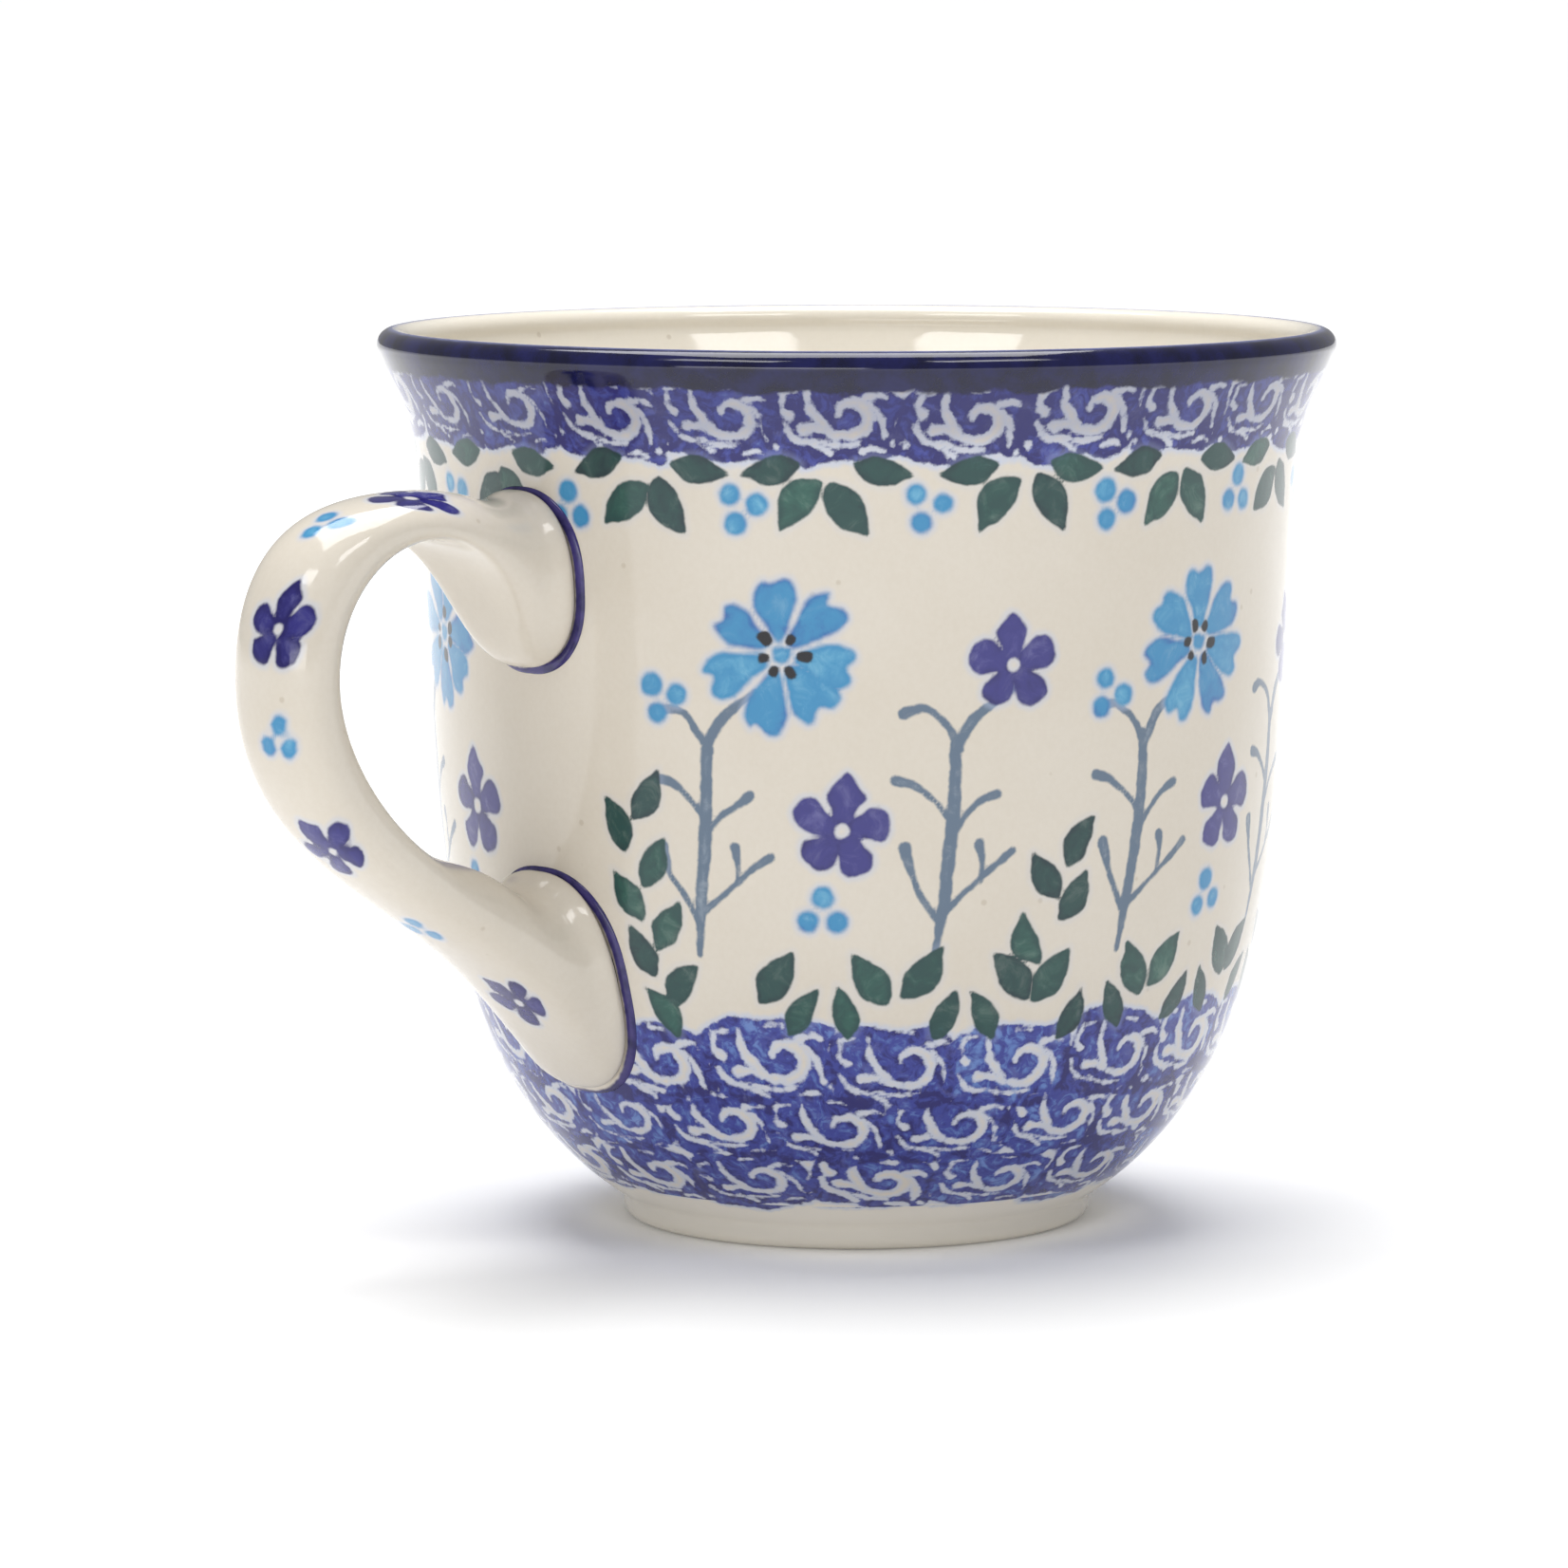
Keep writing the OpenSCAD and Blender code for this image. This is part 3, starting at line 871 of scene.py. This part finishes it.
class Graph:
    """Short calls to build a material's nodes."""

    def __init__(self, name):
        self.material = bpy.data.materials.new(name)
        self.material.use_nodes = True
        self.nodes = self.material.node_tree.nodes
        self.links = self.material.node_tree.links
        self.shader = self.nodes["Principled BSDF"]
        self.position = self.nodes.new("ShaderNodeTexCoord").outputs["Object"]

    def join(self, value, socket):
        if isinstance(value, bpy.types.NodeSocket):
            self.links.new(value, socket)
        else:
            socket.default_value = value

    def math(self, operation, a, b=0.0, c=0.0):
        node = self.nodes.new("ShaderNodeMath")
        node.operation = operation
        for value, socket in zip((a, b, c), node.inputs):
            self.join(value, socket)
        return node.outputs[0]

    def field(self, name):
        node = self.nodes.new("ShaderNodeAttribute")
        node.attribute_name = name
        return node.outputs["Fac"]

    def in_steps_of(self, size_mm):
        """The position, counted in steps of size_mm."""
        scaled = self.nodes.new("ShaderNodeVectorMath")
        scaled.operation = "MULTIPLY"
        self.links.new(self.position, scaled.inputs[0])
        scaled.inputs[1].default_value = [1 / (size_mm * MM)] * 3
        return scaled.outputs[0]

    def noise(self, size_mm, detail=2.0, roughness=0.5, distortion=0.0):
        """Noise around 0.5 whose features are about size_mm across."""
        node = self.nodes.new("ShaderNodeTexNoise")
        self.links.new(self.in_steps_of(size_mm), node.inputs["Vector"])
        node.inputs["Scale"].default_value = 1.0
        node.inputs["Detail"].default_value = detail
        node.inputs["Roughness"].default_value = roughness
        node.inputs["Distortion"].default_value = distortion
        return node.outputs["Fac"]

    def ramp(self, value, low, high, out_low=0.0, out_high=1.0):
        node = self.nodes.new("ShaderNodeMapRange")
        node.interpolation_type = "SMOOTHSTEP"
        for v, key in zip((value, low, high, out_low, out_high),
                          ("Value", "From Min", "From Max", "To Min", "To Max")):
            self.join(v, node.inputs[key])
        return node.outputs["Result"]

    def mix(self, factor, a, b):
        node = self.nodes.new("ShaderNodeMix")
        node.data_type = "RGBA"
        self.join(factor, node.inputs["Factor"])
        # inputs 6 and 7 and output 2 are this node's colour sockets
        self.join(a, node.inputs[6])
        self.join(b, node.inputs[7])
        return node.outputs[2]

    def three(self, value, light, mid, deep):
        """A colour between three shades as value runs from 0 to 1."""
        first = self.mix(self.ramp(value, 0.0, 0.5), light, mid)
        return self.mix(self.ramp(value, 0.5, 1.0), first, deep)

    def specks(self, size_mm, threshold):
        """Sparse specks, 1 on a speck."""
        cell = self.nodes.new("ShaderNodeTexVoronoi")
        cell.inputs["Scale"].default_value = 1.0
        self.links.new(self.in_steps_of(size_mm), cell.inputs["Vector"])
        apart = self.nodes.new("ShaderNodeSeparateColor")
        self.links.new(cell.outputs["Color"], apart.inputs[0])
        chosen = self.math("GREATER_THAN", apart.outputs[0], threshold)
        near = self.ramp(cell.outputs["Distance"], 0.1, 0.22, 1.0, 0.0)
        return self.math("MULTIPLY", chosen, near)

    def bump(self, height, strength, distance_mm):
        node = self.nodes.new("ShaderNodeBump")
        node.inputs["Strength"].default_value = strength
        node.inputs["Distance"].default_value = distance_mm * MM
        self.links.new(height, node.inputs["Height"])
        return node.outputs["Normal"]

    def finish(self, colour, roughness, normal=None):
        self.join(colour, self.shader.inputs["Base Color"])
        self.join(roughness, self.shader.inputs["Roughness"])
        if normal is not None:
            self.links.new(normal, self.shader.inputs["Normal"])
        return self.material


def cream_ground(g, light=CREAM, warm=CREAM_WARM):
    """The clay seen through clear glaze: cream, slightly clouded, with a few iron specks."""
    cloud = g.noise(14.0, 3.0, 0.55)
    grain = g.noise(0.55, 2.0, 0.6)
    amount = g.math("ADD", g.ramp(cloud, 0.3, 0.72, 0.15, 0.5), g.ramp(grain, 0.3, 0.7, 0.0, 0.2))
    ground = g.mix(amount, light, warm)
    speck = g.specks(1.7, 0.965)
    return g.mix(g.math("MULTIPLY", speck, 0.3), ground, IRON_SPECK)


def glaze_relief(g):
    """The slight unevenness of a dipped glaze."""
    broad = g.noise(9.0, 2.0, 0.5)
    peel = g.noise(1.3, 2.0, 0.5)
    height = g.math("MULTIPLY_ADD", peel, 0.16, broad)
    return g.bump(height, 0.35, 0.16)


INKS = {
    "scroll": (SCROLL_LIGHT, SCROLL_MID, SCROLL_DEEP, 0.16, 0.11),
    "stem": (STEM_LIGHT, STEM_DEEP, STEM_DEEP, 0.15, 0.10),
    "sky": (SKY_LIGHT, SKY_MID, SKY_DEEP, 0.30, 0.09),
    "violet": (VIOLET_LIGHT, VIOLET_MID, VIOLET_DEEP, 0.18, 0.09),
    "leaf": (LEAF_LIGHT, LEAF_MID, LEAF_DEEP, 0.14, 0.08),
    "dark": (SOOT, SOOT, SOOT, 0.14, 0.06),
}


def ink_layer(g, under, name, wobble, wash):
    """One ink over what is under it: its edge bleeds a little and its strength clouds."""
    light, mid, deep, soft, stray = INKS[name]
    distance = g.math("MULTIPLY_ADD", wobble, stray * 4, g.field(name))
    if name == "scroll":
        ragged = g.math("ADD", g.noise(0.8, 3.0, 0.6), -0.5)
        distance = g.math("MULTIPLY_ADD", ragged, 0.75, distance)
    cover = g.ramp(distance, -soft, soft, 1.0, 0.0)
    tone = g.math("MULTIPLY_ADD", g.field(name + "_tone"), 0.42, g.math("MULTIPLY", wash, 0.95))
    pool = g.ramp(distance, -0.75, -0.05, 0.0, 0.2)
    shade = g.math("ADD", g.math("ADD", tone, pool), -0.26)
    if name == "scroll":
        patchy = g.ramp(g.noise(3.4, 3.0, 0.6), 0.35, 0.65, 0.1, 0.75)
        layers = g.math("MULTIPLY", g.ramp(g.field("scroll_layers"), 0.9, 2.2), patchy)
        streaks = g.ramp(g.noise(1.5, 3.0, 0.6, distortion=1.2), 0.3, 0.7, -0.34, 0.3)
        shade = g.math("ADD", g.math("ADD", shade, layers), streaks)
    bleed = g.ramp(distance, 0.05, 0.75, {"scroll": 0.6, "leaf": 0.15}.get(name, 0.38), 0.0)
    if name not in ("dark", "stem"):
        under = g.mix(bleed, under, PALE_BLEED)
    colour = g.three(shade, light, mid, deep)
    strength = 1.0 if name == "dark" else g.ramp(wash, 0.2, 0.5, 0.9, 1.0)
    return g.mix(g.math("MULTIPLY", cover, strength), under, colour)


def painted_glaze(name, inks, wall=True, rim=False):
    """Underglaze painting under clear gloss. On the wall the glaze is painted paler at the foot, as
    painted light, and with rim it is painted darker and bluer below the rim, as painted shade."""
    g = Graph(name)
    colour = cream_ground(g)
    apart = g.nodes.new("ShaderNodeSeparateXYZ")
    g.links.new(g.position, apart.inputs[0])
    if wall:
        # painted light: near the foot the glaze is mixed toward a lighter cream
        painted_foot_light = g.ramp(apart.outputs[2], FOOT_LIGHT_LOW_Z * MM, FOOT_LIGHT_HIGH_Z * MM, 1.0, 0.0)
        colour = g.mix(painted_foot_light, colour, CREAM_LIT)
    wobble = g.math("ADD", g.noise(1.1, 2.0, 0.55), -0.5)
    wash = g.noise(2.3, 4.0, 0.62, distortion=0.6)
    for ink in inks:
        colour = ink_layer(g, colour, ink, wobble, wash)
    if rim:
        # painted shade: under the flared rim the glaze is darkened toward dark blue
        painted_rim_shade = g.ramp(apart.outputs[2], FIELD_TOP_Z * MM, RIM_SHADE_TOP_Z * MM, 0.0, 0.36)
        colour = g.mix(painted_rim_shade, colour, RIM_SHADE_BLUE)
        drip = g.math("MULTIPLY_ADD", g.noise(3.0, 3.0, 0.6), 0.0018, apart.outputs[2])
        cover = g.ramp(drip, (BAND_Z + 0.1) * MM, (BAND_Z + 0.55) * MM)
        colour = g.mix(cover, colour, cobalt_colour(g))
    roughness = g.ramp(g.noise(3.0, 3.0), 0.3, 0.7, 0.07, 0.13)
    return g.finish(colour, roughness, glaze_relief(g))


def cobalt_colour(g):
    return g.mix(g.ramp(g.noise(3.2, 4.0, 0.6), 0.32, 0.7), COBALT_DEEP, COBALT)


def cobalt_glaze():
    """The dark band over the lip, thinner and paler on the crest."""
    g = Graph("cobalt glaze")
    to_crest = g.field("to_crest")
    ragged = g.math("MULTIPLY_ADD", g.noise(1.6, 3.0), 0.5, to_crest)
    thin = g.ramp(ragged, 0.15, 0.95, 0.8, 0.0)
    colour = g.mix(thin, cobalt_colour(g), COBALT_THIN)
    roughness = g.ramp(g.noise(3.0, 3.0), 0.3, 0.7, 0.06, 0.12)
    return g.finish(colour, roughness, glaze_relief(g))


def inner_glaze():
    """Clear gloss over cream painted lighter than outside, as painted light, with a trace of cobalt where
    it meets the band on the lip.
    """
    g = Graph("inner glaze")
    ragged = g.math("MULTIPLY_ADD", g.noise(1.6, 3.0), -0.6, g.field("to_crest"))
    trace = g.ramp(ragged, -0.3, 0.25, 0.75, 0.0)
    ground = cream_ground(g, CREAM_LIT, CREAM_LIT_WARM)
    colour = g.mix(trace, ground, COBALT_TRACE)
    roughness = g.ramp(g.noise(3.0, 3.0), 0.3, 0.7, 0.06, 0.12)
    return g.finish(colour, roughness, glaze_relief(g))


def slip_glaze():
    """Cobalt line along a seam: it swells on one side and thins out to cream on the other."""
    g = Graph("cobalt slip")
    weight = g.math("MULTIPLY_ADD", g.noise(2.2, 2.0), 0.5, g.field("weight"))
    wide = g.ramp(weight, -0.75, 0.75, 0.12, 0.95)
    inward = g.math("SUBTRACT", BEAD_REACH, g.field("aside"))
    ragged = g.math("MULTIPLY_ADD", g.noise(0.8, 2.0), 0.2, g.math("SUBTRACT", inward, wide))
    cover = g.ramp(ragged, -0.05, 0.25, 1.0, 0.0)
    line = g.mix(g.ramp(g.noise(1.6, 3.0), 0.3, 0.7), SLIP_DEEP, SLIP_LIGHT)
    colour = g.mix(cover, cream_ground(g), line)
    return g.finish(colour, g.ramp(g.noise(2.0, 2.0), 0.3, 0.7, 0.08, 0.14), glaze_relief(g))


def bare_clay():
    """Fired clay with no glaze: matt, grainy and faintly turned."""
    g = Graph("bare clay")
    grain = g.noise(0.35, 3.0, 0.65)
    colour = g.mix(g.ramp(g.noise(5.0, 4.0), 0.3, 0.7), CLAY, CLAY_DARK)
    colour = g.mix(g.math("MULTIPLY", g.specks(1.1, 0.86), 0.5), colour, CLAY_SPECK)
    wave = g.nodes.new("ShaderNodeTexWave")
    wave.wave_type = "RINGS"
    wave.rings_direction = "Z"
    g.links.new(g.position, wave.inputs["Vector"])
    wave.inputs["Scale"].default_value = 300
    wave.inputs["Distortion"].default_value = 1.5
    height = g.math("MULTIPLY_ADD", wave.outputs["Fac"], 0.5, grain)
    return g.finish(colour, g.ramp(grain, 0.3, 0.7, 0.62, 0.82), g.bump(height, 0.5, 0.08))


# ---- the pieces ----


def dress(obj, material, slot, *nodes):
    obj.data.materials.clear()
    obj.data.materials.append(material)
    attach(obj, "root")
    if nodes:
        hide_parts(*nodes)
    return obj


def build_outer_glaze():
    """The painted outside in zones, from the foot up to the cobalt band."""
    global rng
    foot_z, bowl_z, waist_z = 4.7, 22.9, 47.0
    all_inks = list(INKS)
    drawn = [
        ("outer_glaze_foot", 0.0, foot_z, 0.35, [lower_scrolls], ["scroll"], False),
        ("outer_glaze_bowl", foot_z, bowl_z, 0.24, [lower_scrolls, rising_garland, meadow],
         all_inks, False),
        ("outer_glaze_low_field", bowl_z, waist_z, 0.30, [lower_scrolls, rising_garland, meadow],
         all_inks, False),
        ("outer_glaze_high_field", waist_z, FIELD_TOP_Z, 0.30, [meadow, hanging_garland, upper_scrolls],
         all_inks, False),
        ("outer_glaze_scroll_band", FIELD_TOP_Z, BAND_Z, 0.24, [hanging_garland, upper_scrolls],
         ["scroll", "sky", "leaf"], True),
    ]
    for name, low, high, step, layers, inks, rim in drawn:
        step = shape_mm(step)
        s_low, s_high = OUTSIDE.s_at_height(low), OUTSIDE.s_at_height(high)
        at_foot = low == 0.0
        if at_foot:
            s_low = 0.0
        canvas = WallCanvas(s_low, s_high, step)
        for layer in layers:
            rng = np.random.default_rng(sum(map(ord, layer.__name__)))
            layer(canvas)
        for ink in inks:
            canvas.field(ink, FAR)
            canvas.field(ink + "_tone", 0.5)
        canvas.field("scroll_layers", 0)
        obj = band_shell(name, OUTSIDE, s_low, s_high, step, canvas.fields,
                         back_step=0.35 if at_foot else 1.5)
        paint = painted_glaze(name.replace("_", " "), inks, rim=rim)
        dress(obj, paint, "painted_glaze", "outer_glaze")


def build_rim_band():
    s_low, s_high = OUTSIDE.s_at_height(BAND_Z), OUTSIDE.length
    step = 0.35
    rows = row_places(s_low, s_high, 0.2)
    columns = column_count(OUTSIDE, s_low, s_high, step)
    field = np.broadcast_to((s_high - rows)[:, None], (len(rows), columns))
    obj = band_shell("rim_cobalt_band", OUTSIDE, s_low, s_high, step, {"to_crest": field}, rows)
    dress(obj, cobalt_glaze(), "cobalt_glaze", "rim_band")


def build_inner_glaze():
    step = 0.6
    rows = np.concatenate([row_places(0, 3.0, 0.2), row_places(3.6, INSIDE.length, 0.8)])
    columns = column_count(INSIDE, 0, INSIDE.length, step)
    angles = column_angles(columns)
    face = turned(INSIDE.at(rows), angles)
    back_rows = rows[::-4].copy()
    back_rows[-1] = 0.0
    # the normal points into the cup, away from the clay, because this profile runs down
    back = turned(np.maximum(INSIDE.at(back_rows) - GLAZE_T * INSIDE.normal(back_rows), 0.01), angles)
    points = np.concatenate([face.reshape(-1, 3), back.reshape(-1, 3)])
    total = len(rows) + len(back_rows)
    ring = [k * columns for k in range(total)] + [0]
    field = np.repeat(np.concatenate([rows, back_rows])[:, None], columns, axis=1)
    sharp = np.zeros((total, columns), int)
    sharp[0] = 1
    obj = make_mesh("inner_glaze_coat", points, [grid_faces(ring, columns)], sharp.ravel(),
                    {"to_crest": field})
    dress(obj, inner_glaze(), "clear_glaze", "inner_glaze")


def build_cup_body():
    """The clay under the glaze as one closed turned body. Only its foot shows."""
    outer_s = np.linspace(0.0, OUTSIDE.length, 160)
    outer = OUTSIDE.at(outer_s)
    under = GLAZE_T * np.clip(outer_s / 0.5, 0, 1)[:, None] * OUTSIDE.normal(outer_s)
    inner_s = np.linspace(0.4, INSIDE.length, 120)
    inner = INSIDE.at(inner_s) - GLAZE_T * INSIDE.normal(inner_s)
    recess = arc([FOOT_INNER_R - RECESS_EDGE_R, RECESS_H - RECESS_EDGE_R], RECESS_EDGE_R, 90, 30, 8)
    below = np.concatenate([[[0.02, RECESS_H]], np.linspace([0.8, RECESS_H], [16.9, RECESS_H], 20),
                            recess, [[FOOT_INNER_R, 0.0]],
                            np.linspace([FOOT_INNER_R + 0.3, 0.0], [FOOT_R - FOOT_EDGE_R - 0.2, 0.0], 6)])
    line = np.concatenate([below, outer - under, inner])
    line[:, 0] = np.maximum(line[:, 0], 0.02)
    columns = 256
    points = turned(line, column_angles(columns)).reshape(-1, 3)
    ring = [k * columns for k in range(len(line))]
    caps = [np.arange(ring[-1], ring[-1] + columns)[None, :], np.arange(columns)[None, ::-1]]
    obj = make_mesh("clay_body", points, [grid_faces(ring, columns)] + caps)
    dress(obj, bare_clay(), "bare_clay", "cup_body")


def build_handle():
    canvas = StrapCanvas(330, 132)
    skin, normal = rounded_ends(canvas, 1.1)
    strap_flowers(canvas)
    inks = ["sky", "violet"]
    for ink in inks:
        canvas.field(ink, FAR)
        canvas.field(ink + "_tone", 0.5)
    obj = strap_shell("handle_glaze_coat", canvas, skin, normal)
    dress(obj, painted_glaze("handle glaze", inks, wall=False), "handle_glaze", "handle_glaze")
    dress(strap_clay("handle_clay", skin, normal), bare_clay(), "bare_clay", "handle")
    slip = slip_glaze()
    upper = seam_bead("upper_slip_line", canvas.points[0], canvas.upper_root.swell, 5)
    dress(upper, slip, "cobalt_slip", "upper_slip_joint")
    lower = seam_bead("lower_slip_line", canvas.points[-1], canvas.lower_root.swell, 40)
    dress(lower, slip, "cobalt_slip", "lower_slip_joint")


# ---- surroundings ----


def build_floor():
    size = 60.0
    mesh = bpy.data.meshes.new("floor")
    mesh.from_pydata([(-size, -size, 0), (size, -size, 0), (size, size, 0), (-size, size, 0)], [],
                     [(0, 1, 2, 3)])
    floor = bpy.data.objects.new("floor", mesh)
    bpy.context.scene.collection.objects.link(floor)
    g = Graph("floor")
    g.finish(g.mix(g.noise(900.0), (0.95, 0.95, 0.95, 1), (0.93, 0.93, 0.93, 1)), 0.9)
    g.shader.inputs["Emission Color"].default_value = (1, 1, 1, 1)
    away = g.nodes.new("ShaderNodeVectorMath")
    away.operation = "LENGTH"
    g.links.new(g.position, away.inputs[0])
    glow = g.ramp(away.outputs["Value"], 0.1, 0.9, 0.05, 0.72)
    g.links.new(glow, g.shader.inputs["Emission Strength"])
    mesh.materials.append(g.material)


def area_light(name, place, target, width, height, watts):
    light = bpy.data.lights.new(name, "AREA")
    light.shape = "RECTANGLE"
    light.size, light.size_y = width, height
    light.energy = watts
    obj = bpy.data.objects.new(name, light)
    obj.location = place
    direction = np.array(target) - np.array(place)
    obj.rotation_euler = Vector(direction).to_track_quat("-Z", "Y").to_euler()
    bpy.context.scene.collection.objects.link(obj)


AZIMUTH = math.radians(-43.0)
PITCH = math.radians(6.44)
CAMERA_AWAY, CAMERA_UP = 0.690, 0.1187
WORLD_STRENGTH = 0.31
RIGHT = np.array([math.cos(AZIMUTH), math.sin(AZIMUTH), 0.0])
TOWARD = np.array([math.sin(AZIMUTH), -math.cos(AZIMUTH), 0.0])
UP = np.array([0.0, 0.0, 1.0])


def seen_from_camera(right, toward, up):
    return right * RIGHT + toward * TOWARD + up * UP


def build_lights():
    world = bpy.data.worlds.new("studio")
    bpy.context.scene.world = world
    world.use_nodes = True
    background = world.node_tree.nodes["Background"]
    background.inputs["Color"].default_value = (1.0, 1.0, 1.0, 1)
    background.inputs["Strength"].default_value = WORLD_STRENGTH
    # seen directly, above the floor's edge, the surroundings are as white as the floor
    light_path = world.node_tree.nodes.new("ShaderNodeLightPath")
    strength = world.node_tree.nodes.new("ShaderNodeMapRange")
    strength.inputs["To Min"].default_value = WORLD_STRENGTH
    strength.inputs["To Max"].default_value = 1.0
    links = world.node_tree.links
    links.new(light_path.outputs["Is Camera Ray"], strength.inputs["Value"])
    links.new(strength.outputs["Result"], background.inputs["Strength"])
    middle = (0, 0, 0.045)
    area_light("softbox left", seen_from_camera(-0.66, 0.84, 1.2), middle, 0.62, 0.3, 3.7)
    area_light("softbox right", seen_from_camera(0.66, 0.84, 1.2), middle, 0.62, 0.3, 3.7)
    area_light("top light", seen_from_camera(-0.05, -0.25, 1.1), middle, 0.9, 0.9, 14.5)
    area_light("low fill", seen_from_camera(-0.45, 1.25, 0.14), (0, 0, 0.0), 1.1, 0.2, 2.4)


def build_camera():
    data = bpy.data.cameras.new("camera")
    data.sensor_width = 36.0
    data.lens = 168.8
    data.shift_x = -0.0463
    data.clip_end = 200
    data.clip_start = 0.01
    camera = bpy.data.objects.new("camera", data)
    camera.location = seen_from_camera(0, CAMERA_AWAY, CAMERA_UP)
    camera.rotation_euler = (math.radians(90) - PITCH, 0, AZIMUTH)
    bpy.context.scene.collection.objects.link(camera)
    bpy.context.scene.camera = camera


build_cup_body()
build_outer_glaze()
build_rim_band()
build_inner_glaze()
build_handle()
build_floor()
build_lights()
build_camera()
bpy.context.scene.view_settings.view_transform = "Standard"

bpy.context.view_layer.update()
